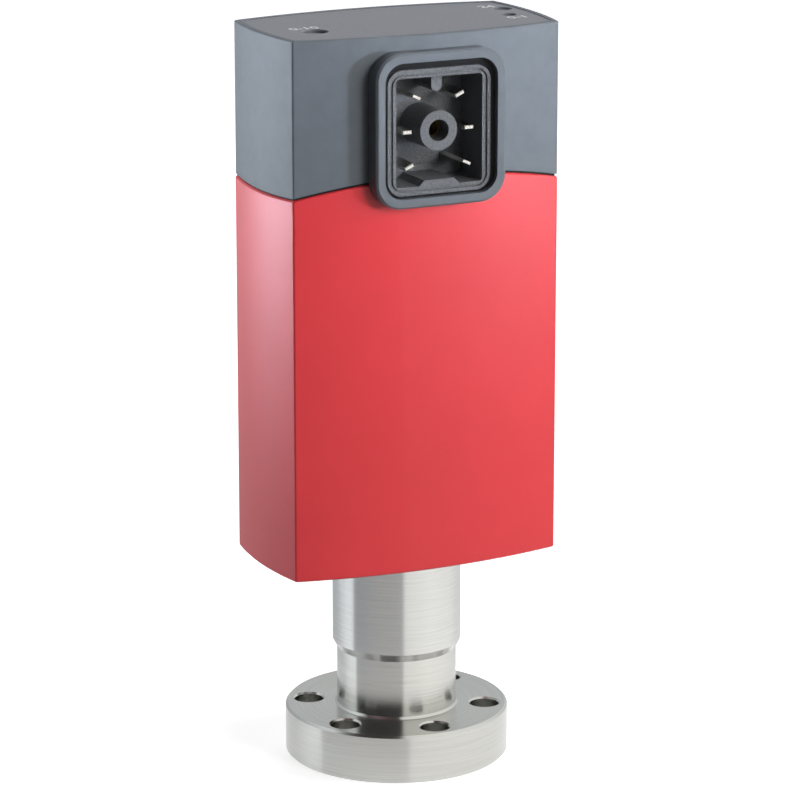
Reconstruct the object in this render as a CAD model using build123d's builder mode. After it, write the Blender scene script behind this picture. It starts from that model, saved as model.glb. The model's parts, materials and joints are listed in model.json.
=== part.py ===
from build123d import *
import os
from math import sqrt, radians, tan

# Hot-wire vacuum gauge on a small knife-edge flange, in millimetres.
# The origin is in the middle of the flange's sealing face, +Z runs up the sensor tube,
# and the front of the housing, with its socket, looks along -Y.

# Sensor tube, which sets the widths of the flange, the turned body and the housing
tube_d = 18.2
tube_wall = 1.0
tube_shown = 9.1
weld_fit = 0.02

# Flange: each ring lies outside the one before it
flange_t = 7.5
flange_edge = 0.35
port_step = 0.1
knife_width = 1.15
gasket_width = 1.55
recess_land = 0.6
bolt_hole_d = 4.4
bolt_hole_edge = 0.25
bolt_count = 6
bolt_to_rim = 3.5
recess_depth = 1.3
knife_below_face = 0.65
knife_outer_slope = 70.0
knife_inner_slope = 20.0
tube_socket = 4.0
bead_width = 0.35
bead_height = 0.35

# Turned body over the tube
body_wall = 0.65
body_edge_h = 1.2
body_socket = 5.5
baffle_t = 0.5
baffle_hole_d = 2.2
baffle_pitch = 4.6
baffle_hole_count = 6
neck_step = 0.75
neck_wall = 1.7
neck_over_nut = 5.4
header_ledge = 0.9
header_ring = 1.6
header_t = 2.5
header_fit = 0.05

# Feedthrough pins and the two fine wires
pin_d = 1.0
pin_circle_d = 9.0
pin_count = 4
glass_fit = 0.01
pin_above = 5.0
short_pin_below = 2.5
long_pin_below = 17.5
wire_d = 0.2
wire_tie = 0.6

# Housing extrusion: corner to corner sizes, and how far each wall bows out
housing_w = 42.8
front_bow = 2.6
side_bow = 1.05
corner_r = 0.35
inner_corner_r = 1.2
housing_wall = 2.0
housing_rise = 24.65
housing_h = 59.75
arch_r = 94.7
parting_edge = 0.2
base_edge = 0.2
channel_d = 5.8
channel_bore_d = 2.7
channel_in_x = 4.1
channel_in_y = 3.75
rail_t = 1.0
rail_reach = 2.2
rail_fit = 0.1

# Base plate, its screws and the ring nut
plate_inset = 0.6
plate_t = 4.0
plate_fit = 0.1
bore_fit = 0.05
screw_d = 2.5
screw_head_d = 4.5
screw_head_h = 1.0
screw_head_sink = 0.1
screw_length = 12.0
hex_sides = 6
screw_hex = 1.5
screw_hex_depth = 0.9
nut_wall = 1.7
nut_gap = 0.55
nut_t = 4.0
nut_slot_w = 3.0
nut_slot_depth = 1.5
nut_slots = 4

# Moulded cap
cap_rise = 20.8
cap_inset = 0.05
cap_wall = 1.2
cap_roof = 2.0
cap_edge = 0.15
seal_t = 0.35
seal_set_back = 0.35
seal_w = 0.8
rim_w = 0.9
foil_recess = 0.3
foil_t = 0.2
foil_fit = 0.05
lip_t = 1.2
lip_depth = 4.0
lip_root = 2.0
lip_fit = 0.1
side_lip_w = 3.0
back_lip_w = 22.0

# Collar round the socket, in front of the housing
collar_frame = 1.4
collar_round = 1.1
collar_edge = 0.3
collar_reach = 2.25
collar_over_crown = 7.3
collar_gap = 0.1
rim_gap = 0.75
rim_gap_round = 0.6
notch_fit = 0.15

# Socket: a shell with the rim and the carrier that is pushed into it from behind
rim_back = 0.9
socket_drop = 0.4
socket_w = 16.5
socket_h = 18.4
socket_r = 2.3
rim_side = 1.35
rim_end = 1.25
cavity_r = 0.5
cavity_depth = 7.1
carrier_t = 2.0
carrier_step = 0.3
carrier_fit = 0.03
groove_in = 0.52
groove_w = 0.33
groove_depth = 0.3
flange_plate_side = 2.0
flange_plate_end = 1.5
flange_plate_t = 1.5
flange_plate_r = 2.0
foot_w = 1.0
foot_h = 2.2
foot_in = 0.8
post_d = 5.9
post_back = 0.2
post_hole_d = 3.2
insert_d = 4.2
insert_bore_d = 2.5
insert_sunk = 3.0
insert_fit = 0.02
rib_w = 1.7
rib_drop = 2.35
rib_back = 1.0
key_base_w = 6.4
key_top_w = 4.8
key_h = 0.8
pocket_w = 7.2
pocket_h = 1.6
pocket_drop = 5.3
pocket_depth = 0.25
gasket_fit = 0.05
gasket_back = 1.1

# Blades: how far in from the cavity's walls, and how each one is turned
blade_w = 1.5
blade_t = 0.6
blade_back = 0.3
blade_bevel = 0.12
blade_fit = 0.03
blade_tail = 0.8
blade_side_in = 1.94
blade_top_in = 3.42
blade_bottom_in = 2.32
blade_row_in = 2.88
blade_tilt = 24.5

# Circuit board, standing across the housing, and what it carries
board_front = 0.9
board_t = 1.6
board_side_gap = 0.4
board_under_roof = 3.0
plug_gap = 0.3
plug_side = 12.0
plug_h = 5.5
plug_back_t = 3.0
plug_back_h = 8.0
plug_pin_fit = 0.05
plug_pin_end = 0.5
chip_side = 9.0
chip_t = 1.4
chip_bevel = 0.12
chip_x = -8.0
chip_up = 17.0
converter_w = 5.0
converter_h = 4.0
converter_t = 1.5
converter_up = 6.0
choke_d = 7.0
choke_t = 4.5
choke_waist_d = 4.6
choke_cheek_t = 0.9
choke_x = 9.0
choke_up = 25.0
capacitor_d = 8.0
capacitor_h = 9.0
capacitor_edge = 0.4
capacitor_up = 13.0

# Test jack, status light and adjust key under the cap's top
jack_hole_d = 4.0
jack_in_x = 6.8
jack_stand = 4.4
jack_w = 6.0
jack_front_t = 2.9
jack_h = 9.0
jack_under_roof = 1.5
jack_nose_d = 3.7
jack_nose_sunk = 0.5
jack_bore_d = 2.5
jack_bore_depth = 9.5
guide_hole_d = 3.1
guide_in_x = 2.2
guide_fit = 0.05
guide_sunk = 0.25
guide_flange_d = 3.3
guide_flange_t = 0.8
guide_under_roof = 2.0
led_w = 2.6
led_t = 2.4
led_h = 3.1
led_gap = 0.1
key_hole_d = 2.4
key_in_x = 3.7
key_stand = 2.5
key_d = 2.0
key_sunk = 0.8
key_length = 7.1
key_travel = 0.3
key_floor_gap = 0.3
key_fit = 0.05
switch_w = 4.4
switch_front_t = 2.5
switch_under_roof = 3.3
switch_h = 5.2

# Widths that follow from the tube
port_d = tube_d - 2 * tube_wall - 2 * port_step
knife_d = port_d + 2 * knife_width
recess_d = knife_d + 2 * gasket_width
bolt_circle_d = recess_d + 2 * recess_land + bolt_hole_d
flange_d = bolt_circle_d + 2 * bolt_to_rim
body_d = tube_d + 2 * body_wall
neck_d = body_d - 2 * neck_step
chamber_d = neck_d - 2 * neck_wall
header_d = neck_d - 2 * header_ledge
glass_d = header_d - 2 * header_ring
nut_d = neck_d + 2 * nut_wall
housing_depth = nut_d + 2 * (nut_gap + housing_wall - front_bow)

# Widths that follow from the socket
cavity_w = socket_w - 2 * rim_side
cavity_h = socket_h - 2 * rim_end
opening_w = socket_w + 2 * rim_gap
opening_h = socket_h + 2 * rim_gap
opening_r = socket_r + rim_gap_round
collar_w = opening_w + 2 * collar_frame
collar_h = opening_h + 2 * collar_frame
collar_r = opening_r + collar_round
flange_plate_w = socket_w + 2 * flange_plate_side
flange_plate_h = socket_h + 2 * flange_plate_end
blade_side_x = cavity_w / 2 - blade_side_in
blade_top_x = cavity_w / 2 - blade_top_in
blade_bottom_x = cavity_w / 2 - blade_bottom_in
blade_row_z = cavity_h / 2 - blade_row_in

# Levels that follow from the sizes above
flange_top = flange_t
tube_base = flange_top - tube_socket
body_base = flange_top + tube_shown
tube_seat = body_base + body_socket
tube_top = tube_seat - baffle_t
housing_base = flange_top + housing_rise
plate_base = housing_base + plate_inset
plate_top = plate_base + plate_t
nut_top = plate_top + nut_t
neck_top = nut_top + neck_over_nut
header_base = neck_top - header_t
crown = housing_base + housing_h
arch_centre = crown - arch_r
cap_top = crown + cap_rise
roof_base = cap_top - cap_roof
foil_base = cap_top - foil_recess
foil_top = foil_base + foil_t
corner_x = housing_w / 2
corner_y = housing_depth / 2
half_width = corner_x + side_bow
half_depth = corner_y + front_bow
arch_side = arch_centre + sqrt(arch_r**2 - half_width**2)
lip_base = arch_side - lip_depth
lip_root_top = crown + lip_root

# Distances in front of the tube's axis, for sketches on planes that face the front
collar_front = half_depth + collar_reach
rim_front = collar_front - rim_back
cavity_floor = rim_front - cavity_depth
socket_back = cavity_floor - carrier_t
wall_inside = half_depth - housing_wall
flange_plate_front = wall_inside - front_bow * (flange_plate_w / housing_w)**2 - lip_fit
post_front = rim_front - post_back
insert_front = post_front - insert_sunk
blade_front = rim_front - blade_back
collar_z = crown + collar_over_crown
socket_z = collar_z - socket_drop
board_back = board_front + board_t

# Places on the plan
channels = [(x, y) for x in (channel_in_x - corner_x, corner_x - channel_in_x)
            for y in (channel_in_y - corner_y, corner_y - channel_in_y)]
side_lip_y = board_front - rail_fit - rail_t - rail_fit - side_lip_w / 2
jack_place = (jack_in_x - corner_x, board_front - jack_stand)
guide_place = (corner_x - guide_in_x, board_back + led_t / 2)
key_place = (corner_x - key_in_x, board_front - key_stand)
top_holes = ((jack_place, jack_hole_d), (guide_place, guide_hole_d), (key_place, key_hole_d))


def bow_radius(length, bow):
    """Radius of a wall of this length that bows out by so much in its middle."""
    return ((length / 2)**2 + bow**2) / (2 * bow)


def plan(inset, corner):
    """The housing's outline drawn in by inset: the area that its four bowed walls enclose."""
    front_r = bow_radius(housing_w, front_bow)
    side_r = bow_radius(housing_depth, side_bow)
    with BuildSketch() as outline:
        with Locations((0, half_depth - front_r)):
            Circle(front_r - inset)
        with Locations((0, front_r - half_depth)):
            Circle(front_r - inset, mode=Mode.INTERSECT)
        with Locations((half_width - side_r, 0)):
            Circle(side_r - inset, mode=Mode.INTERSECT)
        with Locations((side_r - half_width, 0)):
            Circle(side_r - inset, mode=Mode.INTERSECT)
        fillet(outline.vertices(), corner)
    return outline.sketch


def under_arch(rise):
    """All that lies under the arched parting line when it is raised by so much."""
    with BuildPart() as space:
        with BuildSketch(Plane.XZ):
            with Locations((0, arch_centre)):
                Circle(arch_r + rise)
        extrude(amount=housing_depth, both=True)
    return space.part


def band(outer_inset, outer_corner, inner_inset, inner_corner):
    """The area between two outlines of the housing."""
    with BuildSketch() as ring:
        add(plan(outer_inset, outer_corner))
        add(plan(inner_inset, inner_corner), mode=Mode.SUBTRACT)
    return ring.sketch


def lips(outer_inset, inner_inset):
    """Plan of the cap's lips: one at each side and one along the back."""
    with BuildSketch() as ring:
        with Locations((0, side_lip_y)):
            Rectangle(2 * half_width, side_lip_w)
        with Locations((0, half_depth)):
            Rectangle(back_lip_w, half_depth)
        add(band(outer_inset, inner_corner_r, inner_inset, inner_corner_r), mode=Mode.INTERSECT)
    return ring.sketch


os.makedirs("parts", exist_ok=True)

# Flange: turned section with a knife edge inside the gasket recess, and a socket for the tube
knife_tip = (knife_d / 2, knife_below_face)
knife_foot = knife_d / 2 + (recess_depth - knife_below_face) / tan(radians(knife_outer_slope))
port_mouth = knife_below_face + (knife_d - port_d) / 2 * tan(radians(knife_inner_slope))
bead_r = tube_d / 2 + bead_width
with BuildPart() as flange:
    with BuildSketch(Plane.XZ):
        with BuildLine():
            Polyline(
                (port_d / 2, port_mouth),
                knife_tip,
                (knife_foot, recess_depth),
                (recess_d / 2, recess_depth),
                (recess_d / 2, 0),
                (flange_d / 2, 0),
                (flange_d / 2, flange_top),
                (bead_r, flange_top),
                (tube_d / 2 + weld_fit, flange_top + bead_height),
                (tube_d / 2 + weld_fit, tube_base),
                (port_d / 2, tube_base),
                close=True,
            )
        make_face()
    revolve(axis=Axis.Z)
    rims = flange.edges().filter_by(GeomType.CIRCLE)
    chamfer(rims.filter_by(lambda rim: abs(rim.radius - flange_d / 2) < weld_fit), flange_edge)
    with BuildSketch(Plane.XY):
        with PolarLocations(bolt_circle_d / 2, bolt_count, start_angle=180 / bolt_count):
            Circle(bolt_hole_d / 2)
    extrude(amount=flange_top, mode=Mode.SUBTRACT)
    rims = flange.faces().filter_by(Plane.XY).sort_by(Axis.Z)[-1].inner_wires().edges()
    chamfer(rims.filter_by(lambda rim: abs(rim.radius - bolt_hole_d / 2) < weld_fit), bolt_hole_edge)
flange.part.label = "flange"
export_step(flange.part, "parts/flange.step")

# Sensor tube, welded into the flange
with BuildPart() as measuring_tube:
    with BuildSketch(Plane.XY.offset(tube_base)):
        Circle(tube_d / 2)
        Circle(tube_d / 2 - tube_wall, mode=Mode.SUBTRACT)
    extrude(amount=tube_top - tube_base)
measuring_tube.part.label = "measuring_tube"
export_step(measuring_tube.part, "parts/measuring_tube.step")

# Perforated baffle, clamped between the tube's end and the body's shoulder
with BuildPart() as baffle:
    with BuildSketch(Plane.XY.offset(tube_top)):
        Circle(tube_d / 2)
        Circle(baffle_hole_d / 2, mode=Mode.SUBTRACT)
        with PolarLocations(baffle_pitch, baffle_hole_count):
            Circle(baffle_hole_d / 2, mode=Mode.SUBTRACT)
    extrude(amount=baffle_t)
baffle.part.label = "baffle"
export_step(baffle.part, "parts/baffle.step")

# Sensor body: slips over the tube, shoulders under the base plate and holds the header
with BuildPart() as sensor_body:
    with BuildSketch(Plane.XZ):
        with BuildLine():
            Polyline(
                (tube_d / 2 + weld_fit, body_base),
                (body_d / 2, body_base + body_edge_h),
                (body_d / 2, plate_base),
                (neck_d / 2, plate_base),
                (neck_d / 2, neck_top),
                (header_d / 2 + header_fit, neck_top),
                (header_d / 2 + header_fit, header_base),
                (chamber_d / 2, header_base),
                (chamber_d / 2, tube_seat),
                (tube_d / 2 + weld_fit, tube_seat),
                close=True,
            )
        make_face()
    revolve(axis=Axis.Z)
sensor_body.part.label = "sensor_body"
export_step(sensor_body.part, "parts/sensor_body.step")

# Header: a steel ring and the glass disc fused into it, which closes the vacuum side
with BuildPart() as header:
    with BuildSketch(Plane.XY.offset(header_base)):
        Circle(header_d / 2)
        Circle(glass_d / 2 + glass_fit, mode=Mode.SUBTRACT)
    extrude(amount=header_t)
header.part.label = "header"
export_step(header.part, "parts/header.step")

with BuildPart() as header_glass:
    with BuildSketch(Plane.XY.offset(header_base)):
        Circle(glass_d / 2)
        with PolarLocations(pin_circle_d / 2, pin_count, start_angle=180 / pin_count):
            Circle(pin_d / 2 + glass_fit, mode=Mode.SUBTRACT)
    extrude(amount=header_t)
header_glass.part.label = "header_glass"
export_step(header_glass.part, "parts/header_glass.step")

# Pins: in each pair the first is long, and a fine wire is stretched to it from the short one's end
pin_places = [spot.position for spot in
              PolarLocations(pin_circle_d / 2, pin_count, start_angle=180 / pin_count).locations]
pin_end = neck_top + pin_above
short_end = header_base - short_pin_below
long_end = header_base - long_pin_below
for number, place in enumerate(pin_places, start=1):
    pin_foot = long_end if number % 2 else short_end
    with BuildPart() as header_pin:
        with BuildSketch(Plane.XY.offset(pin_foot)):
            with Locations((place.X, place.Y)):
                Circle(pin_d / 2)
        extrude(amount=pin_end - pin_foot)
    header_pin.part.label = f"header_pin_{number}"
    export_step(header_pin.part, f"parts/header_pin_{number}.step")

for pair, wire_name in enumerate(("hot_wire", "reference_wire")):
    long_place = pin_places[2 * pair]
    short_place = pin_places[2 * pair + 1]
    clear_of_pin = (long_place - short_place).normalized() * (pin_d / 2 + wire_d)
    with BuildPart() as fine_wire:
        with BuildLine() as run:
            Line(
                short_place + clear_of_pin + Vector(0, 0, short_end + wire_tie),
                long_place - clear_of_pin + Vector(0, 0, long_end + wire_tie),
            )
        with BuildSketch(run.line ^ 0):
            Circle(wire_d / 2)
        sweep()
    fine_wire.part.label = wire_name
    export_step(fine_wire.part, f"parts/{wire_name}.step")

# Base plate, countersunk for the four screws that go up into the extrusion's channels
with BuildPart() as base_plate:
    with BuildSketch(Plane.XY.offset(plate_base)):
        add(plan(housing_wall + plate_fit, inner_corner_r))
        Circle(neck_d / 2 + bore_fit, mode=Mode.SUBTRACT)
    extrude(amount=plate_t)
    with Locations(Plane.XY.offset(plate_base)):
        with Locations(*channels):
            Cone(
                screw_head_d / 2 + bore_fit + screw_head_sink,
                screw_d / 2 + bore_fit,
                screw_head_h + screw_head_sink,
                align=(Align.CENTER, Align.CENTER, Align.MIN),
                mode=Mode.SUBTRACT,
            )
            Cylinder(
                screw_d / 2 + bore_fit,
                plate_t,
                align=(Align.CENTER, Align.CENTER, Align.MIN),
                mode=Mode.SUBTRACT,
            )
base_plate.part.label = "base_plate"
export_step(base_plate.part, "parts/base_plate.step")

with BuildPart() as base_screws:
    with BuildSketch(Plane.XY.offset(plate_base + screw_head_sink)):
        with Locations(*channels):
            Circle(screw_d / 2)
    extrude(amount=screw_length)
    with Locations(Plane.XY.offset(plate_base + screw_head_sink)):
        with Locations(*channels):
            Cone(
                screw_head_d / 2,
                screw_d / 2,
                screw_head_h,
                align=(Align.CENTER, Align.CENTER, Align.MIN),
            )
    with BuildSketch(Plane.XY.offset(plate_base + screw_head_sink)):
        with Locations(*channels):
            RegularPolygon(screw_hex / 2, hex_sides, major_radius=False)
    extrude(amount=screw_hex_depth, mode=Mode.SUBTRACT)
base_screws.part.label = "base_screws"
export_step(base_screws.part, "parts/base_screws.step")

# Slotted ring nut that draws the sensor body's shoulder up against the plate
with BuildPart() as ring_nut:
    with BuildSketch(Plane.XY.offset(plate_top)):
        Circle(nut_d / 2)
        with PolarLocations(nut_d / 2, nut_slots):
            Rectangle(2 * nut_slot_depth, nut_slot_w, mode=Mode.SUBTRACT)
        Circle(neck_d / 2 + bore_fit, mode=Mode.SUBTRACT)
    extrude(amount=nut_t)
ring_nut.part.label = "ring_nut"
export_step(ring_nut.part, "parts/ring_nut.step")

# Housing: one length of extrusion with screw channels and board rails, cut to an arch on top
rail_places = (board_front - rail_fit - rail_t / 2, board_back + rail_fit + rail_t / 2)
with BuildPart() as housing_shell:
    with BuildSketch(Plane.XY.offset(housing_base)):
        for rail_y in rail_places:
            with Locations((0, rail_y)):
                Rectangle(2 * half_width, rail_t)
        Rectangle(2 * (half_width - housing_wall - rail_reach), housing_depth, mode=Mode.SUBTRACT)
        with Locations(*channels):
            Circle(channel_d / 2)
        add(plan(housing_wall / 2, inner_corner_r), mode=Mode.INTERSECT)
        add(band(0, corner_r, housing_wall, inner_corner_r))
        with Locations(*channels):
            Circle(channel_bore_d / 2, mode=Mode.SUBTRACT)
    extrude(amount=housing_h)
    add(under_arch(0), mode=Mode.INTERSECT)
    with BuildSketch(Plane.XY.offset(housing_base)):
        add(plan(housing_wall, inner_corner_r))
    extrude(amount=plate_top - housing_base, mode=Mode.SUBTRACT)
    outer_rim = housing_shell.faces().filter_by(GeomType.CYLINDER).filter_by(
        lambda face: abs(face.radius - arch_r) < weld_fit)
    chamfer(outer_rim.sort_by(SortBy.AREA)[-1].outer_wire().edges(), parting_edge)
    chamfer(housing_shell.faces().sort_by(Axis.Z)[0].outer_wire().edges(), base_edge)
    with BuildSketch(Plane.XZ.offset(collar_front)):
        with Locations((0, collar_z)):
            RectangleRounded(opening_w + 2 * notch_fit, opening_h + 2 * notch_fit, opening_r + notch_fit)
    extrude(amount=-collar_front + board_front - jack_stand, mode=Mode.SUBTRACT)
housing_shell.part.label = "housing_shell"
export_step(housing_shell.part, "parts/housing_shell.step")

# Seal on the parting line: a thin band that follows the arch, open where the socket stands
with BuildPart() as edge_seal:
    with BuildSketch(Plane.XY.offset(lip_base)):
        add(band(seal_set_back, corner_r, seal_set_back + seal_w, inner_corner_r))
    extrude(amount=lip_root_top - lip_base)
    add(under_arch(seal_t - weld_fit), mode=Mode.INTERSECT)
    add(under_arch(weld_fit), mode=Mode.SUBTRACT)
    with BuildSketch(Plane.XZ.offset(collar_front)):
        with Locations((0, collar_z)):
            Rectangle(collar_w, collar_h)
    extrude(amount=-collar_front, mode=Mode.SUBTRACT)
edge_seal.part.label = "edge_seal"
export_step(edge_seal.part, "parts/edge_seal.step")

# Cap: bowed walls like the housing's, a rim round the top, and the collar that laps over the front
with BuildPart() as housing_space:
    with BuildSketch(Plane.XY.offset(housing_base)):
        add(plan(-collar_gap, corner_r))
    extrude(amount=housing_h + seal_t)
    add(under_arch(seal_t), mode=Mode.INTERSECT)

with BuildPart() as top_cap:
    with BuildSketch(Plane.XY.offset(lip_base)):
        add(plan(cap_inset, corner_r))
    extrude(amount=cap_top - lip_base)
    chamfer(top_cap.faces().sort_by(Axis.Z)[-1].edges(), cap_edge)
    with BuildSketch(Plane.XY.offset(lip_base)):
        add(plan(cap_inset + cap_wall, inner_corner_r))
    extrude(amount=roof_base - lip_base, mode=Mode.SUBTRACT)
    with BuildSketch(Plane.XY.offset(lip_base)):
        add(lips(cap_inset + cap_wall / 2, housing_wall + lip_fit + lip_t))
    extrude(amount=lip_root_top - lip_base)
    with BuildSketch(Plane.XZ.offset(collar_front)):
        with Locations((0, collar_z)):
            RectangleRounded(collar_w, collar_h, collar_r)
    extrude(amount=flange_plate_front - collar_front)
    chamfer(top_cap.faces().sort_by(Axis.Y)[0].outer_wire().edges(), collar_edge)
    add(housing_space.part, mode=Mode.SUBTRACT)
    with BuildSketch(Plane.XZ.offset(collar_front)):
        with Locations((0, collar_z)):
            RectangleRounded(opening_w, opening_h, opening_r)
    extrude(amount=flange_plate_front - collar_front, mode=Mode.SUBTRACT)
    with BuildSketch(Plane.XY.offset(lip_base)):
        add(lips(housing_wall + lip_fit, housing_wall + lip_fit + lip_t))
    extrude(amount=lip_root_top - lip_base)
    with BuildSketch(Plane.XY.offset(foil_base)):
        add(plan(cap_inset + rim_w, corner_r))
    extrude(amount=foil_recess, mode=Mode.SUBTRACT)
    with BuildSketch(Plane.XY.offset(roof_base)):
        for place, size in top_holes:
            with Locations(place):
                Circle(size / 2)
    extrude(amount=cap_roof, mode=Mode.SUBTRACT)
top_cap.part.label = "top_cap"
export_step(top_cap.part, "parts/top_cap.step")

# Foil let into the top, punched for the three holes
with BuildPart() as top_foil:
    with BuildSketch(Plane.XY.offset(foil_base)):
        add(plan(cap_inset + rim_w + foil_fit, corner_r))
        for place, size in top_holes:
            with Locations(place):
                Circle(size / 2, mode=Mode.SUBTRACT)
    extrude(amount=foil_t)
top_foil.part.label = "top_foil"
export_step(top_foil.part, "parts/top_foil.step")

# Socket shell: rim, coding rib and key, a plate behind the cap's wall, and feet on the board
blades = (
    (-blade_side_x, 0, 0),
    (blade_side_x, 0, 0),
    (-blade_top_x, blade_row_z, -blade_tilt),
    (blade_top_x, blade_row_z, blade_tilt),
    (-blade_bottom_x, -blade_row_z, blade_tilt),
    (blade_bottom_x, -blade_row_z, -blade_tilt),
)
rib_straight = rib_drop - rib_w / 2
foot_x = cavity_w / 2 + carrier_step + foot_w / 2
foot_z = socket_h / 2 - foot_in - foot_h / 2
with BuildPart() as connector_body:
    with BuildSketch(Plane.XZ.offset(rim_front)):
        with Locations((0, socket_z)):
            RectangleRounded(socket_w, socket_h, socket_r)
    extrude(amount=socket_back - rim_front)
    with BuildSketch(Plane.XZ.offset(flange_plate_front)):
        with Locations((0, socket_z)):
            RectangleRounded(flange_plate_w, flange_plate_h, flange_plate_r)
    extrude(amount=-flange_plate_t)
    with BuildSketch(Plane.XZ.offset(socket_back)):
        with Locations((0, socket_z)):
            with GridLocations(2 * foot_x, 2 * foot_z, 2, 2):
                Rectangle(foot_w, foot_h)
    extrude(amount=-board_front - socket_back)
    with BuildSketch(Plane.XZ.offset(rim_front)):
        with Locations((0, socket_z)):
            RectangleRounded(cavity_w, cavity_h, cavity_r)
    extrude(amount=socket_back - rim_front, mode=Mode.SUBTRACT)
    with BuildSketch(Plane.XZ.offset(cavity_floor)):
        with Locations((0, socket_z)):
            RectangleRounded(cavity_w + 2 * carrier_step, cavity_h + 2 * carrier_step, cavity_r)
    extrude(amount=-carrier_t, mode=Mode.SUBTRACT)
    with BuildSketch(Plane.XZ.offset(rim_front)):
        with Locations((0, socket_z)):
            RectangleRounded(socket_w - 2 * groove_in, socket_h - 2 * groove_in, socket_r - groove_in)
            RectangleRounded(
                socket_w - 2 * groove_in - 2 * groove_w,
                socket_h - 2 * groove_in - 2 * groove_w,
                socket_r - groove_in - groove_w,
                mode=Mode.SUBTRACT,
            )
    extrude(amount=-groove_depth, mode=Mode.SUBTRACT)
    with BuildSketch(Plane.XZ.offset(cavity_floor)):
        with Locations((0, socket_z + cavity_h / 2 - rib_straight / 2)):
            Rectangle(rib_w, rib_straight)
        with Locations((0, socket_z + cavity_h / 2 - rib_straight)):
            Circle(rib_w / 2)
    extrude(amount=rim_front - rib_back - cavity_floor)
    with BuildSketch(Plane.XZ.offset(cavity_floor)):
        with BuildLine():
            Polyline(
                (-key_base_w / 2, socket_z - cavity_h / 2),
                (-key_top_w / 2, socket_z - cavity_h / 2 + key_h),
                (key_top_w / 2, socket_z - cavity_h / 2 + key_h),
                (key_base_w / 2, socket_z - cavity_h / 2),
                close=True,
            )
        make_face()
    extrude(amount=rim_front - cavity_floor)
connector_body.part.label = "connector_body"
export_step(connector_body.part, "parts/connector_body.step")

# Carrier: the cavity's floor with its post, which holds the blades and the threaded insert
with BuildPart() as contact_carrier:
    with BuildSketch(Plane.XZ.offset(cavity_floor)):
        with Locations((0, socket_z)):
            RectangleRounded(
                cavity_w + 2 * (carrier_step - carrier_fit),
                cavity_h + 2 * (carrier_step - carrier_fit),
                cavity_r,
            )
    extrude(amount=-carrier_t)
    with BuildSketch(Plane.XZ.offset(cavity_floor)):
        with Locations((0, socket_z - pocket_drop)):
            Rectangle(pocket_w, pocket_h)
    extrude(amount=-pocket_depth, mode=Mode.SUBTRACT)
    with BuildSketch(Plane.XZ.offset(cavity_floor)):
        with Locations((0, socket_z)):
            Circle(post_d / 2)
    extrude(amount=post_front - cavity_floor)
    with BuildSketch(Plane.XZ.offset(post_front)):
        with Locations((0, socket_z)):
            Circle(post_hole_d / 2)
    extrude(amount=-insert_sunk, mode=Mode.SUBTRACT)
    with BuildSketch(Plane.XZ.offset(insert_front)):
        with Locations((0, socket_z)):
            Circle(insert_d / 2 + insert_fit)
    extrude(amount=socket_back - insert_front, mode=Mode.SUBTRACT)
    with BuildSketch(Plane.XZ.offset(cavity_floor)):
        for x, z, turn in blades:
            with Locations(Location((x, socket_z + z), turn)):
                Rectangle(blade_w + 2 * blade_fit, blade_t + 2 * blade_fit)
    extrude(amount=socket_back - cavity_floor, mode=Mode.SUBTRACT)
contact_carrier.part.label = "contact_carrier"
export_step(contact_carrier.part, "parts/contact_carrier.step")

# Threaded insert for the plug's screw, pushed in from behind against the post's shoulder
with BuildPart() as lock_insert:
    with BuildSketch(Plane.XZ.offset(insert_front)):
        with Locations((0, socket_z)):
            Circle(insert_d / 2)
            Circle(insert_bore_d / 2, mode=Mode.SUBTRACT)
    extrude(amount=socket_back - insert_front)
lock_insert.part.label = "lock_insert"
export_step(lock_insert.part, "parts/lock_insert.step")

# Gasket between the socket's rim and the collar's opening
with BuildPart() as connector_gasket:
    with BuildSketch(Plane.XZ.offset(collar_front - gasket_back)):
        with Locations((0, collar_z)):
            RectangleRounded(opening_w - 2 * gasket_fit, opening_h - 2 * gasket_fit, opening_r - gasket_fit)
        with Locations((0, socket_z)):
            RectangleRounded(
                socket_w + 2 * gasket_fit,
                socket_h + 2 * gasket_fit,
                socket_r + gasket_fit,
                mode=Mode.SUBTRACT,
            )
    extrude(amount=flange_plate_front - collar_front + gasket_back)
connector_gasket.part.label = "connector_gasket"
export_step(connector_gasket.part, "parts/connector_gasket.step")

# Blades, from just inside the rim through the floor and the board
blade_end = -board_back - blade_tail
for number, (x, z, turn) in enumerate(blades, start=1):
    with BuildPart() as contact:
        with BuildSketch(Plane.XZ.offset(blade_front)):
            with Locations(Location((x, socket_z + z), turn)):
                Rectangle(blade_w, blade_t)
        extrude(amount=blade_end - blade_front)
        chamfer(contact.faces().sort_by(Axis.Y)[0].edges(), blade_bevel)
    contact.part.label = f"contact_{number}"
    export_step(contact.part, f"parts/contact_{number}.step")

# Circuit board, with slots for the blades
board_side = half_width - housing_wall - board_side_gap
board_base = neck_top + plug_gap + plug_h
board_top = roof_base - board_under_roof
with BuildPart() as main_board:
    with BuildSketch(Plane.XZ.offset(-board_front)):
        with Locations((0, (board_base + board_top) / 2)):
            Rectangle(2 * board_side, board_top - board_base)
        for x, z, turn in blades:
            with Locations(Location((x, socket_z + z), turn)):
                Rectangle(blade_w + 2 * blade_fit, blade_t + 2 * blade_fit, mode=Mode.SUBTRACT)
    extrude(amount=-board_t)
main_board.part.label = "main_board"
export_step(main_board.part, "parts/main_board.step")

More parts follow.
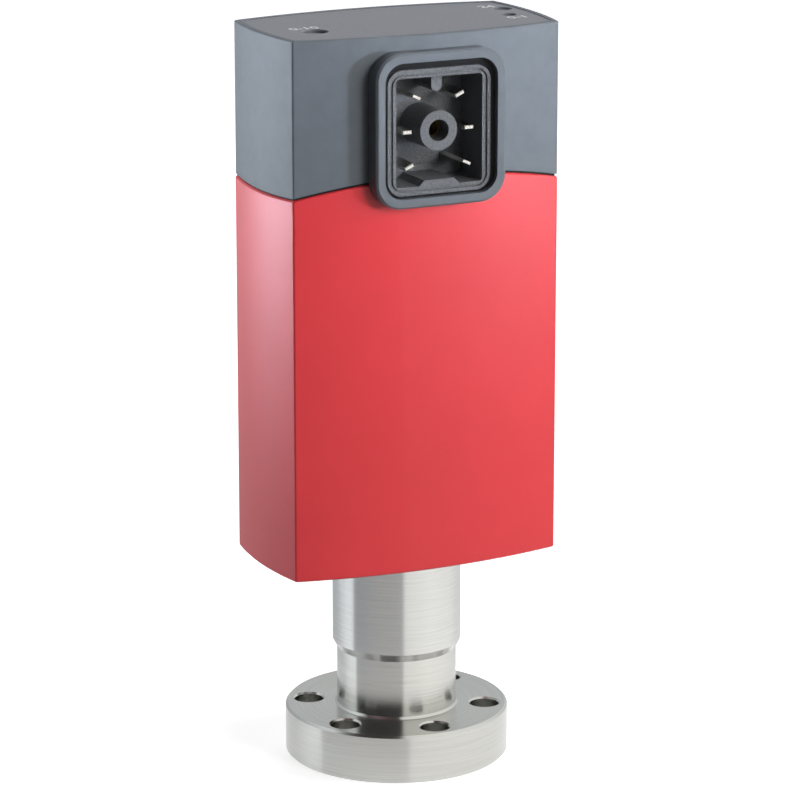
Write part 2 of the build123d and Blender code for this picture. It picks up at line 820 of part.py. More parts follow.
# Moulded plug over the header's pins, with a back that stands against the board
plug_base = neck_top + plug_gap
with BuildPart() as sensor_plug:
    with BuildSketch(Plane.XY.offset(plug_base)):
        Rectangle(plug_side, plug_side)
    extrude(amount=plug_h)
    with BuildSketch(Plane.XY.offset(plug_base + plug_h)):
        with Locations((0, board_front - plug_back_t / 2)):
            Rectangle(plug_side, plug_back_t)
    extrude(amount=plug_back_h)
    with BuildSketch(Plane.XY.offset(plug_base)):
        with PolarLocations(pin_circle_d / 2, pin_count, start_angle=180 / pin_count):
            Circle(pin_d / 2 + plug_pin_fit)
    extrude(amount=pin_end + plug_pin_end - plug_base, mode=Mode.SUBTRACT)
sensor_plug.part.label = "sensor_plug"
export_step(sensor_plug.part, "parts/sensor_plug.step")

# The larger parts on the board's front
with BuildPart() as processor:
    with BuildSketch(Plane.XZ.offset(-board_front)):
        with Locations((chip_x, board_base + chip_up)):
            Rectangle(chip_side, chip_side)
    extrude(amount=chip_t)
    chamfer(processor.faces().sort_by(Axis.Y)[0].edges(), chip_bevel)
processor.part.label = "processor"
export_step(processor.part, "parts/processor.step")

with BuildPart() as converter:
    with BuildSketch(Plane.XZ.offset(-board_front)):
        with Locations((chip_x - chip_side / 2, board_base + converter_up)):
            Rectangle(converter_w, converter_h)
    extrude(amount=converter_t)
    chamfer(converter.faces().sort_by(Axis.Y)[0].edges(), chip_bevel)
converter.part.label = "converter"
export_step(converter.part, "parts/converter.step")

choke_z = board_base + choke_up
with BuildPart() as supply_choke:
    with BuildSketch(Plane.XZ.offset(-board_front)):
        with Locations((choke_x, choke_z)):
            Circle(choke_waist_d / 2)
    extrude(amount=choke_t)
    with BuildSketch(Plane.XZ.offset(-board_front), Plane.XZ.offset(-board_front + choke_t - choke_cheek_t)):
        with Locations((choke_x, choke_z)):
            Circle(choke_d / 2)
    extrude(amount=choke_cheek_t)
supply_choke.part.label = "supply_choke"
export_step(supply_choke.part, "parts/supply_choke.step")

with BuildPart() as supply_capacitor:
    with BuildSketch(Plane.XZ.offset(-board_front)):
        with Locations((choke_x, board_base + capacitor_up)):
            Circle(capacitor_d / 2)
    extrude(amount=capacitor_h)
    chamfer(supply_capacitor.faces().sort_by(Axis.Y)[0].edges(), capacitor_edge)
supply_capacitor.part.label = "supply_capacitor"
export_step(supply_capacitor.part, "parts/supply_capacitor.step")

# Test jack: a block on the board with a nose that stands in the cap's largest hole
jack_top = roof_base - jack_under_roof
jack_nose_top = foil_top - jack_nose_sunk
with BuildPart() as test_jack:
    with BuildSketch(Plane.XY.offset(jack_top)):
        with Locations((jack_place[0], board_front - (jack_stand + jack_front_t) / 2)):
            Rectangle(jack_w, jack_stand + jack_front_t)
    extrude(amount=-jack_h)
    with BuildSketch(Plane.XY.offset(jack_top)):
        with Locations(jack_place):
            Circle(jack_nose_d / 2)
    extrude(amount=jack_nose_top - jack_top)
    with BuildSketch(Plane.XY.offset(jack_nose_top)):
        with Locations(jack_place):
            Circle(jack_bore_d / 2)
    extrude(amount=-jack_bore_depth, mode=Mode.SUBTRACT)
test_jack.part.label = "test_jack"
export_step(test_jack.part, "parts/test_jack.step")

# Status light behind the board, and the clear guide above it
guide_base = roof_base - guide_under_roof
with BuildPart() as status_led:
    with BuildSketch(Plane.XY.offset(guide_base - led_gap)):
        with Locations(guide_place):
            Rectangle(led_w, led_t)
    extrude(amount=-led_h)
status_led.part.label = "status_led"
export_step(status_led.part, "parts/status_led.step")

with BuildPart() as light_guide:
    with BuildSketch(Plane.XY.offset(guide_base)):
        with Locations(guide_place):
            Circle(guide_hole_d / 2 - guide_fit)
    extrude(amount=foil_top - guide_sunk - guide_base)
    with BuildSketch(Plane.XY.offset(guide_base)):
        with Locations(guide_place):
            Circle(guide_flange_d / 2)
    extrude(amount=guide_flange_t)
light_guide.part.label = "light_guide"
export_step(light_guide.part, "parts/light_guide.step")

# Switch and its key: the key slides in the switch and is pressed through the smallest hole
switch_top = roof_base - switch_under_roof
key_top = foil_top - key_sunk
key_base = key_top - key_length
with BuildPart() as key_switch:
    with BuildSketch(Plane.XY.offset(switch_top)):
        with Locations((key_place[0], board_front - (key_stand + switch_front_t) / 2)):
            Rectangle(switch_w, key_stand + switch_front_t)
    extrude(amount=-switch_h)
    with BuildSketch(Plane.XY.offset(switch_top)):
        with Locations(key_place):
            Circle(key_d / 2 + key_fit)
    extrude(amount=key_base - key_travel - key_floor_gap - switch_top, mode=Mode.SUBTRACT)
key_switch.part.label = "key_switch"
export_step(key_switch.part, "parts/key_switch.step")

with BuildPart() as adjust_key:
    with BuildSketch(Plane.XY.offset(key_base)):
        with Locations(key_place):
            Circle(key_d / 2)
    extrude(amount=key_length)
adjust_key.part.label = "adjust_key"
export_step(adjust_key.part, "parts/adjust_key.step")
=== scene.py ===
import json
from math import cos, pi, radians, sin, tau

import bmesh
import bpy
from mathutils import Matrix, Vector


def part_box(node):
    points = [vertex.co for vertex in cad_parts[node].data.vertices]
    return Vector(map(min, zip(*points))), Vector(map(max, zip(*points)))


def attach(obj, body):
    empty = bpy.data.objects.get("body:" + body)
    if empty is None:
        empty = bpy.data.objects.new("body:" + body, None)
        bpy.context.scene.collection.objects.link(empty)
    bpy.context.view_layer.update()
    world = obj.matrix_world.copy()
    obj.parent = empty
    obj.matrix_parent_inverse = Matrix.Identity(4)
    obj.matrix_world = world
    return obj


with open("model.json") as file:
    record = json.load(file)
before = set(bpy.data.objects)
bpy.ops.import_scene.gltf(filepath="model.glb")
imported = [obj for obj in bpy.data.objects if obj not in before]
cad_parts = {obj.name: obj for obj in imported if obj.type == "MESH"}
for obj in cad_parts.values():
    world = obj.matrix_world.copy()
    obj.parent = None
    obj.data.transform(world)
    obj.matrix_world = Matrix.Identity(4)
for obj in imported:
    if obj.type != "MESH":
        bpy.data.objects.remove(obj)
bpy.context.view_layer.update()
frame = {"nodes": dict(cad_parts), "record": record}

# Everything below is in metres; mm turns a real size into them.
mm = 0.001


# Colours and nodes

def linear(code):
    """An sRGB hex colour as the linear red, green, blue and alpha that Blender mixes with."""
    channels = [int(code[place:place + 2], 16) / 255 for place in (1, 3, 5)]
    return [c / 12.92 if c <= 0.04045 else ((c + 0.055) / 1.055)**2.4 for c in channels] + [1.0]


def add(tree, kind, settings=None, links=None):
    """Adds a node with its settings and links. A socket goes by its name, or by its number."""
    node = tree.nodes.new(kind)
    for key, value in (settings or {}).items():
        if isinstance(key, int) or key in node.inputs:
            node.inputs[key].default_value = value
        else:
            setattr(node, key, value)
    for key, source in (links or {}).items():
        tree.links.new(source, node.inputs[key])
    return node


def new_material(name):
    """An empty material with its node tree and the object's own coordinates in metres."""
    material = bpy.data.materials.new(name)
    material.use_nodes = True
    tree = material.node_tree
    tree.nodes.clear()
    place = add(tree, "ShaderNodeTexCoord").outputs["Object"]
    return material, tree, place


def grain(tree, place, size, detail=2.0, stretch=(1, 1, 1)):
    """Noise whose lumps are about size across, and longer along an axis where stretch is small."""
    scaled = add(tree, "ShaderNodeMapping", {"Scale": [axis / size for axis in stretch]}, {"Vector": place})
    return add(
        tree, "ShaderNodeTexNoise",
        {"Scale": 1.0, "Detail": detail, "Roughness": 0.6},
        {"Vector": scaled.outputs["Vector"]},
    ).outputs["Fac"]


def shades(tree, factor, dark, light):
    """Runs from one hex colour to the other over the middle values, where most of a grain lies."""
    spread = add(tree, "ShaderNodeMapRange", {"From Min": 0.3, "From Max": 0.7}, {"Value": factor})
    return add(
        tree, "ShaderNodeMix",
        {"data_type": "RGBA", 6: linear(dark), 7: linear(light)},
        {"Factor": spread.outputs["Result"]},
    ).outputs[2]


def turn_round_z(tree, apart):
    """The turn round the Z axis in radians: none at the front, and a quarter turn on the right."""
    front = add(tree, "ShaderNodeMath", {"operation": "MULTIPLY", 1: -1.0}, {0: apart.outputs["Y"]})
    return add(
        tree, "ShaderNodeMath",
        {"operation": "ARCTAN2"},
        {0: apart.outputs["X"], 1: front.outputs["Value"]},
    ).outputs["Value"]


# Materials

def red_anodised_aluminium():
    """Extruded, etched, anodised and dyed: a satin red with the clear oxide skin's soft sheen on it."""
    material, tree, place = new_material("red_anodised_aluminium")
    # The etched grain is about 0.05 mm across; drawn 0.25 mm so that it shows.
    etch = grain(tree, place, 0.25 * mm)
    # Die lines run up the extrusion; the real ones are 0.05 mm wide, drawn wider so that they show.
    die_lines = grain(tree, place, 0.3 * mm, stretch=(1, 1, 0.01))
    # The dye takes a little unevenly, in clouds about 18 mm across.
    cloud = grain(tree, place, 18 * mm)
    gloss = add(tree, "ShaderNodeMapRange", {"To Min": 0.38, "To Max": 0.5}, {"Value": etch})
    drawn = add(tree, "ShaderNodeBump", {"Strength": 0.5, "Distance": 0.004 * mm}, {"Height": die_lines})
    etched = add(
        tree, "ShaderNodeBump",
        {"Strength": 0.6, "Distance": 0.006 * mm},
        {"Height": etch, "Normal": drawn.outputs["Normal"]},
    )
    # The dye hides most of the metal, so the colour is nearly that of paint, and the skin is a coat.
    shader = add(
        tree, "ShaderNodeBsdfPrincipled",
        {
            "Metallic": 0.05,
            "Specular IOR Level": 0.3,
            "Coat Weight": 0.55,
            "Coat Roughness": 0.4,
            "Coat IOR": 1.65,
        },
        {
            "Base Color": shades(tree, cloud, "#DF2F37", "#E7333B"),
            "Roughness": gloss.outputs["Result"],
            "Normal": etched.outputs["Normal"],
        },
    )
    add(tree, "ShaderNodeOutputMaterial", links={"Surface": shader.outputs["BSDF"]})
    return material


def moulded_grey_plastic():
    """Glass-filled plastic from a spark-eroded mould: an even, dull grey, very slightly mottled."""
    material, tree, place = new_material("moulded_grey_plastic")
    # The mould's pits are about 0.08 mm across; drawn 0.22 mm so that they show.
    spark = grain(tree, place, 0.22 * mm, detail=3.0)
    # The glass fibres lie unevenly, in patches about 3 mm across.
    cloud = grain(tree, place, 3 * mm)
    gloss = add(tree, "ShaderNodeMapRange", {"To Min": 0.48, "To Max": 0.62}, {"Value": spark})
    pitted = add(tree, "ShaderNodeBump", {"Strength": 0.6, "Distance": 0.012 * mm}, {"Height": spark})
    shader = add(
        tree, "ShaderNodeBsdfPrincipled",
        {"IOR": 1.5, "Specular IOR Level": 0.42},
        {
            "Base Color": shades(tree, cloud, "#676D73", "#6D7379"),
            "Roughness": gloss.outputs["Result"],
            "Normal": pitted.outputs["Normal"],
        },
    )
    add(tree, "ShaderNodeOutputMaterial", links={"Surface": shader.outputs["BSDF"]})
    return material


def turned_steel(name, dark, light, rough):
    """Stainless steel from the lathe: the tool's fine rings stretch each highlight across them."""
    material, tree, place = new_material(name)
    apart = add(tree, "ShaderNodeSeparateXYZ", links={"Vector": place})
    flat = add(tree, "ShaderNodeCombineXYZ", links={"X": apart.outputs["X"], "Y": apart.outputs["Y"]})
    reach = add(tree, "ShaderNodeVectorMath", {"operation": "LENGTH"}, {0: flat.outputs["Vector"]})
    # The tool's lines are 0.05 mm apart; drawn 0.11 mm apart so that they show, and about 8 mm long.
    line = 0.11 * mm
    line_length = 8 * mm
    tube_radius = 9 * mm
    run = add(
        tree, "ShaderNodeMath",
        {"operation": "MULTIPLY", 1: tube_radius * line / line_length},
        {0: turn_round_z(tree, apart)},
    )
    # The grain is laid out from the axis, round it and up along it, so that it makes rings.
    ring_place = add(
        tree, "ShaderNodeCombineXYZ",
        links={"X": reach.outputs["Value"], "Y": run.outputs["Value"], "Z": apart.outputs["Z"]},
    )
    rings = grain(tree, ring_place.outputs["Vector"], line, detail=1.0)
    gloss = add(tree, "ShaderNodeMapRange", {"To Min": rough[0], "To Max": rough[1]}, {"Value": rings})
    ridges = add(tree, "ShaderNodeBump", {"Strength": 0.5, "Distance": 0.0003 * mm}, {"Height": rings})
    round_axis = add(tree, "ShaderNodeTangent", {"direction_type": "RADIAL", "axis": "Z"})
    # A quarter turn of the anisotropy stretches the highlight across the rings, not along them.
    shader = add(
        tree, "ShaderNodeBsdfPrincipled",
        {"Metallic": 1.0, "Anisotropic": 0.85, "Anisotropic Rotation": 0.25},
        {
            "Base Color": shades(tree, rings, dark, light),
            "Roughness": gloss.outputs["Result"],
            "Normal": ridges.outputs["Normal"],
            "Tangent": round_axis.outputs["Tangent"],
        },
    )
    add(tree, "ShaderNodeOutputMaterial", links={"Surface": shader.outputs["BSDF"]})
    return material


def even_finish(name, dark, light, rough, grit, depth, settings, strength=0.7, detail=3.0):
    """A surface with one grain, as wide as grit, that carries its colour, its gloss and its relief."""
    material, tree, place = new_material(name)
    marks = grain(tree, place, grit, detail)
    gloss = add(tree, "ShaderNodeMapRange", {"To Min": rough[0], "To Max": rough[1]}, {"Value": marks})
    bumpy = add(tree, "ShaderNodeBump", {"Strength": strength, "Distance": depth}, {"Height": marks})
    shader = add(
        tree, "ShaderNodeBsdfPrincipled",
        settings,
        {
            "Base Color": shades(tree, marks, dark, light),
            "Roughness": gloss.outputs["Result"],
            "Normal": bumpy.outputs["Normal"],
        },
    )
    add(tree, "ShaderNodeOutputMaterial", links={"Surface": shader.outputs["BSDF"]})
    return material


def plain_metal(name, dark, light, rough, grit):
    """A small machined, drawn or plated metal piece: one colour with a fine uneven shine."""
    return even_finish(name, dark, light, rough, grit, grit / 40, {"Metallic": 1.0}, strength=0.4, detail=2.0)


def formed_piece(name, dark, light, rough, grit, depth):
    """A moulded, fused, sintered or lacquered piece that isn't metal: duller, with its own grain."""
    return even_finish(name, dark, light, rough, grit, depth, {"IOR": 1.5, "Specular IOR Level": 0.35})


def clear_polycarbonate():
    """Moulded in a polished mould: clear and glossy, so that the light's colour comes through."""
    material, tree, place = new_material("clear_polycarbonate")
    # Faint flow marks, about 0.4 mm across.
    marks = grain(tree, place, 0.4 * mm)
    gloss = add(tree, "ShaderNodeMapRange", {"To Min": 0.05, "To Max": 0.15}, {"Value": marks})
    shader = add(
        tree, "ShaderNodeBsdfPrincipled",
        {"Base Color": linear("#DDE6E2"), "IOR": 1.58, "Transmission Weight": 0.8},
        {"Roughness": gloss.outputs["Result"]},
    )
    add(tree, "ShaderNodeOutputMaterial", links={"Surface": shader.outputs["BSDF"]})
    return material


# Each finish has a line on how the piece was made and what that gives the eye. The marks that this
# leaves are mostly 0.02 to 0.1 mm wide, too fine to show, so each grit is a few times as wide.
finishes = {
    # Faced and turned from bar, left as the tool cut it: bright rings, and dark where the room is.
    "flange": turned_steel("turned_stainless_flange", "#C4C4C0", "#D0D0CC", rough=(0.17, 0.24)),
    # Drawn and polished on the lathe before it was welded in: the brightest steel, with sharp bands.
    "measuring_tube": turned_steel("drawn_stainless_tube", "#CECDC9", "#D9D8D4", rough=(0.17, 0.24)),
    # Turned with a fine feed: satin, a little whiter, its bands softer at their edges.
    "sensor_body": turned_steel("satin_turned_stainless", "#D2D2D0", "#DCDCDA", rough=(0.22, 0.28)),
    # Sheet with its holes etched through: the acid leaves it dull and grey.
    "baffle": plain_metal("etched_stainless_sheet", "#8F8E8A", "#A3A29E", rough=(0.3, 0.45), grit=0.3 * mm),
    # Turned and nickel plated, then fired with its glass: a warm grey, evenly bright.
    "header": plain_metal("nickel_plated_header", "#A39F97", "#B4B0A8", rough=(0.25, 0.4), grit=0.4 * mm),
    # Melted into its ring: a smooth, glossy dark green.
    "header_glass": formed_piece(
        "fused_glass", "#3E5F5C", "#4A6E6A", rough=(0.08, 0.15), grit=0.8 * mm, depth=0.002 * mm),
    # Drawn through dies: a dull grey thread of metal with a soft shine along it.
    "hot_wire": plain_metal("drawn_tungsten_wire", "#8A8782", "#9A9792", rough=(0.25, 0.35), grit=0.1 * mm),
    # Milled from plate and left bare: pale, with the cutter's fine marks.
    "base_plate": plain_metal("milled_aluminium", "#B5B6B8", "#C5C6C8", rough=(0.28, 0.42), grit=0.5 * mm),
    # Headed and rolled from wire: a darker steel, smooth where the die pressed it.
    "base_screws": plain_metal("bright_screw_steel", "#8B8B8C", "#A0A0A1", rough=(0.22, 0.35), grit=0.3 * mm),
    # Turned and slotted: a plain warm steel.
    "ring_nut": plain_metal("turned_nut_steel", "#A3A19C", "#B5B3AE", rough=(0.25, 0.35), grit=0.3 * mm),
    "housing_shell": red_anodised_aluminium(),
    # Moulded rubber, nearly black: partly its own colour and partly painted shade for the gap at the parting
    # line, so that the line reads as a dark thread.
    "edge_seal": formed_piece(
        "seal_rubber_with_painted_gap_shade", "#0C0C0D", "#121213", rough=(0.6, 0.75), grit=0.3 * mm, depth=0.004 * mm),
    "top_cap": moulded_grey_plastic(),
    # Foil embossed with pebbles about 0.3 mm across: a warmer grey than the cap, with a fine sparkle.
    "top_foil": even_finish(
        "pebbled_polyester_foil", "#73747A", "#8C8D95", rough=(0.4, 0.6), grit=0.28 * mm, depth=0.02 * mm,
        settings={"IOR": 1.5}, strength=0.8),
    # Moulded with glass fibre in it, which roughens the skin: a dull dark grey that never shines.
    "connector_body": formed_piece(
        "glass_filled_nylon", "#5A5C5F", "#77797C", rough=(0.45, 0.65), grit=0.3 * mm, depth=0.015 * mm),
    # Turned brass, darkened by age: a brown glint deep in the post.
    "lock_insert": plain_metal("tarnished_brass", "#5E4E30", "#75633F", rough=(0.32, 0.5), grit=0.2 * mm),
    # Moulded rubber, partly its own black and partly painted shade: it is made blacker than the seal because
    # it lies deep in its gap, and stands in for the shade between collar and rim.
    "connector_gasket": formed_piece(
        "gasket_rubber_painted_gap_shade", "#070708", "#0C0C0D", rough=(0.6, 0.8), grit=0.3 * mm, depth=0.004 * mm),
    # Glass cloth and resin under a green lacquer: half glossy, slightly wavy.
    "main_board": formed_piece(
        "solder_resist_laminate", "#0F4A2B", "#165A36", rough=(0.25, 0.4), grit=0.6 * mm, depth=0.003 * mm),
    # Moulded without dye: a waxy off-white.
    "sensor_plug": formed_piece(
        "natural_nylon", "#CFCDC3", "#DAD8CE", rough=(0.4, 0.55), grit=0.4 * mm, depth=0.006 * mm),
    # Resin pressed round the chip: flat black, finely pitted.
    "processor": formed_piece(
        "black_epoxy", "#1A1A1C", "#222224", rough=(0.5, 0.65), grit=0.2 * mm, depth=0.004 * mm),
    # Pressed from powder and fired: a grey black with a gritty skin.
    "supply_choke": formed_piece(
        "sintered_ferrite", "#2B2B2D", "#363638", rough=(0.5, 0.7), grit=0.3 * mm, depth=0.008 * mm),
    # Plastic sleeve shrunk over the can: a smooth dark blue.
    "supply_capacitor": formed_piece(
        "shrunk_sleeve", "#1C2140", "#232A4C", rough=(0.25, 0.35), grit=0.6 * mm, depth=0.003 * mm),
    # Moulded in light grey: it shows as a pale ring in the top's largest hole.
    "test_jack": formed_piece(
        "light_grey_nylon", "#8A8B8E", "#999A9D", rough=(0.4, 0.55), grit=0.3 * mm, depth=0.006 * mm),
    # Tinted resin cast round the diode: glossy green.
    "status_led": formed_piece(
        "tinted_epoxy", "#2E9A4E", "#37A85A", rough=(0.1, 0.2), grit=0.4 * mm, depth=0.002 * mm),
    "light_guide": clear_polycarbonate(),
    # Moulded in black: dull, a little lighter on the key where fingers and pins rub it.
    "key_switch": formed_piece(
        "black_switch_nylon", "#141416", "#1B1B1D", rough=(0.45, 0.6), grit=0.3 * mm, depth=0.004 * mm),
    "adjust_key": formed_piece(
        "black_key_nylon", "#1E1E20", "#262628", rough=(0.4, 0.55), grit=0.3 * mm, depth=0.004 * mm),
}
finishes["reference_wire"] = finishes["hot_wire"]
finishes["contact_carrier"] = finishes["connector_body"]
finishes["converter"] = finishes["processor"]

# Gold plated over nickel: smooth and warm, with a clear shine.
pin_finish = plain_metal("gold_plated_pin", "#B99A55", "#C9AA64", rough=(0.15, 0.25), grit=0.2 * mm)
finishes.update({f"header_pin_{number}": pin_finish for number in (1, 2, 3, 4)})

# Stamped from strip and tin plated: a bright white metal that glints at each blade's tip.
blade_finish = plain_metal("bright_tin_plate", "#D2CFC8", "#E0DDD6", rough=(0.16, 0.28), grit=0.15 * mm)
finishes.update({f"contact_{number}": blade_finish for number in (1, 2, 3, 4, 5, 6)})

for name, node in frame["nodes"].items():
    node.data.materials.clear()
    node.data.materials.append(finishes[name])


# Pieces too fine for the solids

def middle(node):
    """The middle of a solid's box."""
    low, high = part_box(node)
    return (low + high) / 2


def fit_piece(name, data, material):
    """Puts a finished piece on the gauge's body, with its finish."""
    data.materials.append(material)
    piece = bpy.data.objects.new(name, data)
    bpy.context.scene.collection.objects.link(piece)
    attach(piece, "gauge")
    return piece


def insert_thread(material):
    """The thread in the post's insert: one sharp ridge that winds along the bore."""
    low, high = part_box("lock_insert")
    centre = middle("lock_insert")
    # The insert's bore is at core size, so the ridge stands a little way into it.
    pitch = 0.5 * mm
    root, crest = 1.26 * mm, 1.12 * mm
    half_ridge = 0.3 * pitch
    steps = 24
    turns = int((high.y - low.y) / pitch) - 1
    build = bmesh.new()
    rows = []
    for step in range(turns * steps + 1):
        angle = tau * step / steps
        along = low.y + pitch * (0.5 + step / steps)
        row = []
        for reach, shift in ((root, -half_ridge), (crest, 0.0), (root, half_ridge)):
            row.append(build.verts.new((
                centre.x + reach * cos(angle), along + shift, centre.z + reach * sin(angle),
            )))
        rows.append(row)
    for first, second in zip(rows, rows[1:]):
        for side in range(2):
            build.faces.new((first[side], first[side + 1], second[side + 1], second[side]))
    mesh = bpy.data.meshes.new("insert_thread")
    build.to_mesh(mesh)
    build.free()
    return fit_piece("insert_thread", mesh, material)


def jack_sleeve(axis, material):
    """The test jack's contact: a rolled sleeve with a flared lip and four slots for its spring."""
    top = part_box("test_jack")[1].z
    # From the lip's outer edge over its top and down the sleeve, in mm: radius, and depth below the nose.
    profile = ((1.22, 1.5), (1.22, 0.9), (1.1, 0.75), (1.0, 0.9), (0.95, 1.5), (0.9, 3.2), (0.92, 6.5))
    sides = 40
    slot_every = sides // 4
    slots_from = 4
    build = bmesh.new()
    rings = []
    for reach, drop in profile:
        rings.append([
            build.verts.new((
                axis.x + reach * mm * cos(tau * side / sides),
                axis.y + reach * mm * sin(tau * side / sides),
                top - drop * mm,
            ))
            for side in range(sides)
        ])
    for level, (upper, lower) in enumerate(zip(rings, rings[1:])):
        for side in range(sides):
            slotted = level >= slots_from and side % slot_every == 0
            if not slotted:
                after = (side + 1) % sides
                build.faces.new((upper[side], upper[after], lower[after], lower[side]))
    mesh = bpy.data.meshes.new("jack_sleeve")
    build.to_mesh(mesh)
    build.free()
    for face in mesh.polygons:
        face.use_smooth = True
    return fit_piece("jack_sleeve", mesh, material)


def hole_number(name, numerals, hole, right, back, material):
    """Plain numerals printed on the foil, so far to the right of a hole's middle and behind it."""
    ink_thickness = 0.008 * mm
    print_line = bpy.data.curves.new(name, "FONT")
    print_line.body = numerals
    print_line.size = 2.5 * mm
    print_line.align_x = "CENTER"
    print_line.align_y = "CENTER"
    print_line.extrude = ink_thickness
    print_line.offset = 0.06 * mm
    print_line.resolution_u = 4
    piece = fit_piece(name, print_line, material)
    piece.location = (hole.x + right, hole.y + back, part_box("top_foil")[1].z + ink_thickness)
    return piece


mounts = {mount["name"]: Vector(mount["pos_m"]) for mount in frame["record"]["mounts"]}
jack_axis = mounts["test_socket"]

# Screen printed through a mesh: a thin white ink, slightly uneven at its edges and in its gloss.
screen_ink = formed_piece(
    "white_screen_ink", "#D2D4D6", "#E6E8EA", rough=(0.45, 0.6), grit=0.25 * mm, depth=0.004 * mm)
# Rolled from bronze strip: a warm, worn shine just inside the jack.
sleeve_bronze = plain_metal("rolled_bronze_contact", "#B7A77E", "#C8B88E", rough=(0.2, 0.32), grit=0.2 * mm)

insert_thread(finishes["lock_insert"])
jack_sleeve(jack_axis, sleeve_bronze)
hole_number("jack_range_numerals", "0-10", jack_axis, -0.4 * mm, 3.15 * mm, screen_ink)
hole_number("light_numerals", "24", middle("light_guide"), -1.3 * mm, 2.5 * mm, screen_ink)
hole_number("key_numerals", "0-1", middle("adjust_key"), 0.1 * mm, -2.8 * mm, screen_ink)


# Light, floor and camera

def seen_or_mirrored(tree):
    """Is Camera Ray as it is, and one number for the rays that metal and glass send on."""
    path = add(tree, "ShaderNodeLightPath")
    mirrored = add(
        tree, "ShaderNodeMath",
        {"operation": "MAXIMUM"},
        {0: path.outputs["Is Glossy Ray"], 1: path.outputs["Is Transmission Ray"]},
    )
    return path.outputs["Is Camera Ray"], mirrored.outputs["Value"]


def make_floor():
    """Plain pale paper: white to the camera, with the gauge's shadow on it, and open to reflections."""
    half_width = 3.0
    mesh = bpy.data.meshes.new("studio_floor")
    build = bmesh.new()
    bmesh.ops.create_grid(build, x_segments=1, y_segments=1, size=half_width)
    build.to_mesh(mesh)
    build.free()
    floor = bpy.data.objects.new("studio_floor", mesh)
    # Just under the flange, so that the two faces don't lie in one plane.
    floor.location.z = -0.02 * mm
    bpy.context.scene.collection.objects.link(floor)
    material, tree, place = new_material("white_paper_floor")
    seen, mirrored = seen_or_mirrored(tree)
    distance = add(tree, "ShaderNodeVectorMath", {"operation": "LENGTH"}, {0: place})
    # The paper sends little light back up, as under a real gauge in a tall, dark studio.
    shown = add(tree, "ShaderNodeMath", {"operation": "MAXIMUM"}, {0: seen, 1: mirrored})
    tone = add(
        tree, "ShaderNodeMix",
        {"data_type": "RGBA", 6: linear("#7C7C7C"), 7: linear("#F4F4F4")},
        {"Factor": shown.outputs["Value"]},
    )
    paper = add(tree, "ShaderNodeBsdfDiffuse", links={"Color": tone.outputs[2]})
    # Away from the gauge the paper shows as pure white, and round its foot the shadow stays.
    fade = add(
        tree, "ShaderNodeMapRange",
        {"From Min": 60 * mm, "From Max": 350 * mm, "To Min": 0.62, "To Max": 1.0},
        {"Value": distance.outputs["Value"]},
    )
    glow = add(
        tree, "ShaderNodeMath",
        {"operation": "MULTIPLY"},
        {0: fade.outputs["Result"], 1: shown.outputs["Value"]},
    )
    white = add(tree, "ShaderNodeEmission", {"Color": linear("#FFFFFF")}, {"Strength": glow.outputs["Value"]})
    lit = add(tree, "ShaderNodeAddShader", links={0: paper.outputs["BSDF"], 1: white.outputs["Emission"]})
    # Metal mirrors the paper only close to the flange and the room beyond it, so that the room's
    # bright and dark bands run down the tube.
    beyond = add(
        tree, "ShaderNodeMapRange",
        {"From Min": 22 * mm, "From Max": 60 * mm, "To Min": 0.4},
        {"Value": distance.outputs["Value"]},
    )
    opened = add(
        tree, "ShaderNodeMath",
        {"operation": "MULTIPLY"},
        {0: beyond.outputs["Result"], 1: mirrored},
    )
    through = add(tree, "ShaderNodeBsdfTransparent")
    pick = add(
        tree, "ShaderNodeMixShader",
        links={0: opened.outputs["Value"], 1: lit.outputs["Shader"], 2: through.outputs["BSDF"]},
    )
    add(tree, "ShaderNodeOutputMaterial", links={"Surface": pick.outputs["Shader"]})
    mesh.materials.append(material)


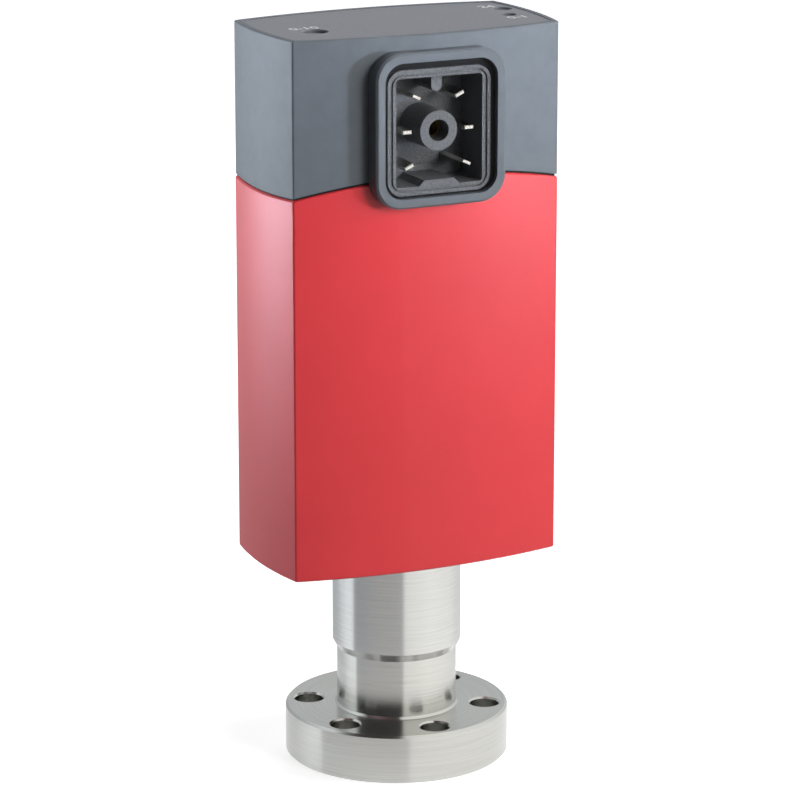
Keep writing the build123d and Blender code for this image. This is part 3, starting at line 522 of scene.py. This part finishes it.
def make_room():
    """The studio: white behind and on the right, with a dark screen round the front left."""
    world = bpy.data.worlds.new("studio_room")
    bpy.context.scene.world = world
    world.use_nodes = True
    tree = world.node_tree
    tree.nodes.clear()
    direction = add(tree, "ShaderNodeTexCoord").outputs["Generated"]
    apart = add(tree, "ShaderNodeSeparateXYZ", links={"Vector": direction})
    full_turn = add(
        tree, "ShaderNodeMapRange",
        {"From Min": -pi, "From Max": pi},
        {"Value": turn_round_z(tree, apart)},
    )
    walls = add(tree, "ShaderNodeValToRGB", links={"Fac": full_turn.outputs["Result"]})
    # A bearing runs from -180 at the back, over -90 at the left and 0 at the front, to 90 at the
    # right. Each wall has its bearing, its colour, and 1 where it is lit or 0 where the screen stands.
    bearings = (
        (-180, "#B0B3B6", 1), (-150, "#C0C4C8", 1), (-126, "#F0F4F8", 1), (-110, "#F4F8FC", 1),
        (-107, "#DCE2E8", 0), (-60, "#F4F4F4", 0), (-14, "#FFFFFF", 0), (-10, "#F0F0EE", 1),
        (40, "#FFFFFC", 1), (84, "#F8F8F6", 1), (120, "#DEE0E0", 1), (180, "#B0B3B6", 1),
    )
    points = walls.color_ramp.elements
    while len(points) < len(bearings):
        points.new(0.5)
    for point, (degrees, code, lit) in zip(points, bearings):
        point.position = (degrees + 180) / 360
        point.color = linear(code)[:3] + [lit]
    # The screen is black above the gauge's height and catches a little light from the floor below.
    screen = add(
        tree, "ShaderNodeMapRange",
        {"From Min": -0.42, "From Max": -0.12, "To Min": 0.74, "To Max": 0.06},
        {"Value": apart.outputs["Z"]},
    )
    wall_level = add(
        tree, "ShaderNodeMix",
        {"data_type": "FLOAT", 3: 1.0},
        {"Factor": walls.outputs["Alpha"], 2: screen.outputs["Result"]},
    )
    seen, mirrored = seen_or_mirrored(tree)
    # Matt surfaces get less of the room than metal mirrors.
    share = add(tree, "ShaderNodeMapRange", {"To Min": 0.2, "To Max": 1.15}, {"Value": mirrored})
    level = add(
        tree, "ShaderNodeMath",
        {"operation": "MULTIPLY"},
        {0: wall_level.outputs[0], 1: share.outputs["Result"]},
    )
    light = add(
        tree, "ShaderNodeBackground",
        links={"Color": walls.outputs["Color"], "Strength": level.outputs["Value"]},
    )
    white = add(tree, "ShaderNodeBackground", {"Color": linear("#FFFFFF"), "Strength": 1.0})
    pick = add(
        tree, "ShaderNodeMixShader",
        links={0: seen, 1: light.outputs["Background"], 2: white.outputs["Background"]},
    )
    add(tree, "ShaderNodeOutputWorld", links={"Surface": pick.outputs["Shader"]})


def softbox(name, bearing, height, distance, size, power, aim, spread, shines=False, code="#FFFFFF"):
    """A square soft light with a grid, aimed at a point on the tube's axis so far up.

    Its bearing and height are in degrees as seen from that point, and spread is how wide its grid
    lets it shine. Where it doesn't shine, glossy surfaces show the room in its place, not a square.
    """
    lamp = bpy.data.lights.new(name, "AREA")
    lamp.shape = "SQUARE"
    lamp.size = size
    lamp.energy = power
    lamp.color = linear(code)[:3]
    lamp.spread = radians(spread)
    light = bpy.data.objects.new(name, lamp)
    light.visible_camera = False
    light.visible_glossy = shines
    bpy.context.scene.collection.objects.link(light)
    turn, rise = radians(bearing), radians(height)
    away = Vector((sin(turn) * cos(rise), -cos(turn) * cos(rise), sin(rise)))
    light.location = Vector((0, 0, aim)) + away * distance
    light.rotation_mode = "QUATERNION"
    light.rotation_quaternion = away.to_track_quat("Z", "Y")


def light_gauge():
    """Four soft lamps for the shape, and two narrow ones for the sheen on the housing's walls."""
    # From the right, the lamp that shows the red at its brightest.
    softbox("key_light", 60, 18, distance=0.8, size=0.5, power=1.0, aim=110 * mm, spread=80)
    # From the front, enough to see into the socket.
    softbox("front_light", 20, 14, distance=0.8, size=0.3, power=0.24, aim=150 * mm, spread=40)
    # Cool beams from just under level. They pass above the steel and fade down the walls.
    softbox(
        "right_sheen", 45, -3, distance=0.8, size=0.22, power=0.13, aim=206 * mm, spread=10,
        shines=True, code="#E0ECFF")
    softbox(
        "left_sheen", -140, -5, distance=0.6, size=0.16, power=0.055, aim=148 * mm, spread=12,
        shines=True, code="#E6F0FF")
    # From behind on the left, for the narrow side.
    softbox("back_light", -130, 10, distance=0.7, size=0.4, power=0.25, aim=150 * mm, spread=50)
    # From above and behind, for the foil and the flange's face.
    softbox("top_light", 160, 62, distance=0.7, size=0.4, power=0.4, aim=100 * mm, spread=100)


def make_camera():
    """The photograph's view: a long lens from the front left, looking a little down."""
    # Fitted to the photograph's outlines of flange, tube, housing and cap.
    lens = 176.0
    bearing, height = -25.29, 14.81
    distance = 589.0 * mm
    aim = Vector((0.61, 0.0, 55.0)) * mm
    camera = bpy.data.cameras.new("photo_camera")
    camera.sensor_width = 36.0
    camera.lens = lens
    camera.clip_start = 0.01
    camera.clip_end = 20.0
    view = bpy.data.objects.new("photo_camera", camera)
    bpy.context.scene.collection.objects.link(view)
    turn, rise = radians(bearing), radians(height)
    away = Vector((sin(turn) * cos(rise), -cos(turn) * cos(rise), sin(rise)))
    view.location = aim + away * distance
    view.rotation_mode = "QUATERNION"
    view.rotation_quaternion = away.to_track_quat("Z", "Y")
    bpy.context.scene.camera = view


make_floor()
make_room()
light_gauge()
make_camera()
bpy.context.scene.view_settings.view_transform = "Standard"
